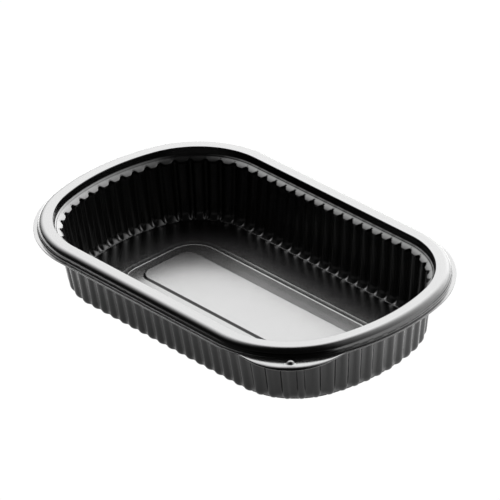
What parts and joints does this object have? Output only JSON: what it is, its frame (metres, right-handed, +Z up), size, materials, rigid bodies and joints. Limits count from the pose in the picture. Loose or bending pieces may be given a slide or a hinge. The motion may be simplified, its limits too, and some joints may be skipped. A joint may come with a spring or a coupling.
{
  "type": "plastic meal tray",
  "caption": "Shallow black thermoformed plastic meal tray with rounded corners, bowed ends, a broad rim and lip with a corner lift tab, fluted walls and a raised floor panel.",
  "frame": {"origin": "centre of the bounding box, at the height of the tray's base", "axes": "+X along the tray's length, +Y across its width, +Z up out of its open mouth; the lip's lift tab is at the corner of +X and -Y"},
  "size_m": [0.2302, 0.1426, 0.0387],
  "materials": {
    "black_polypropylene": "smooth glossy thermoformed sheet"
  },
  "bodies": {
    "root": {"tray": "black_polypropylene"}
  },
  "joints": []
}
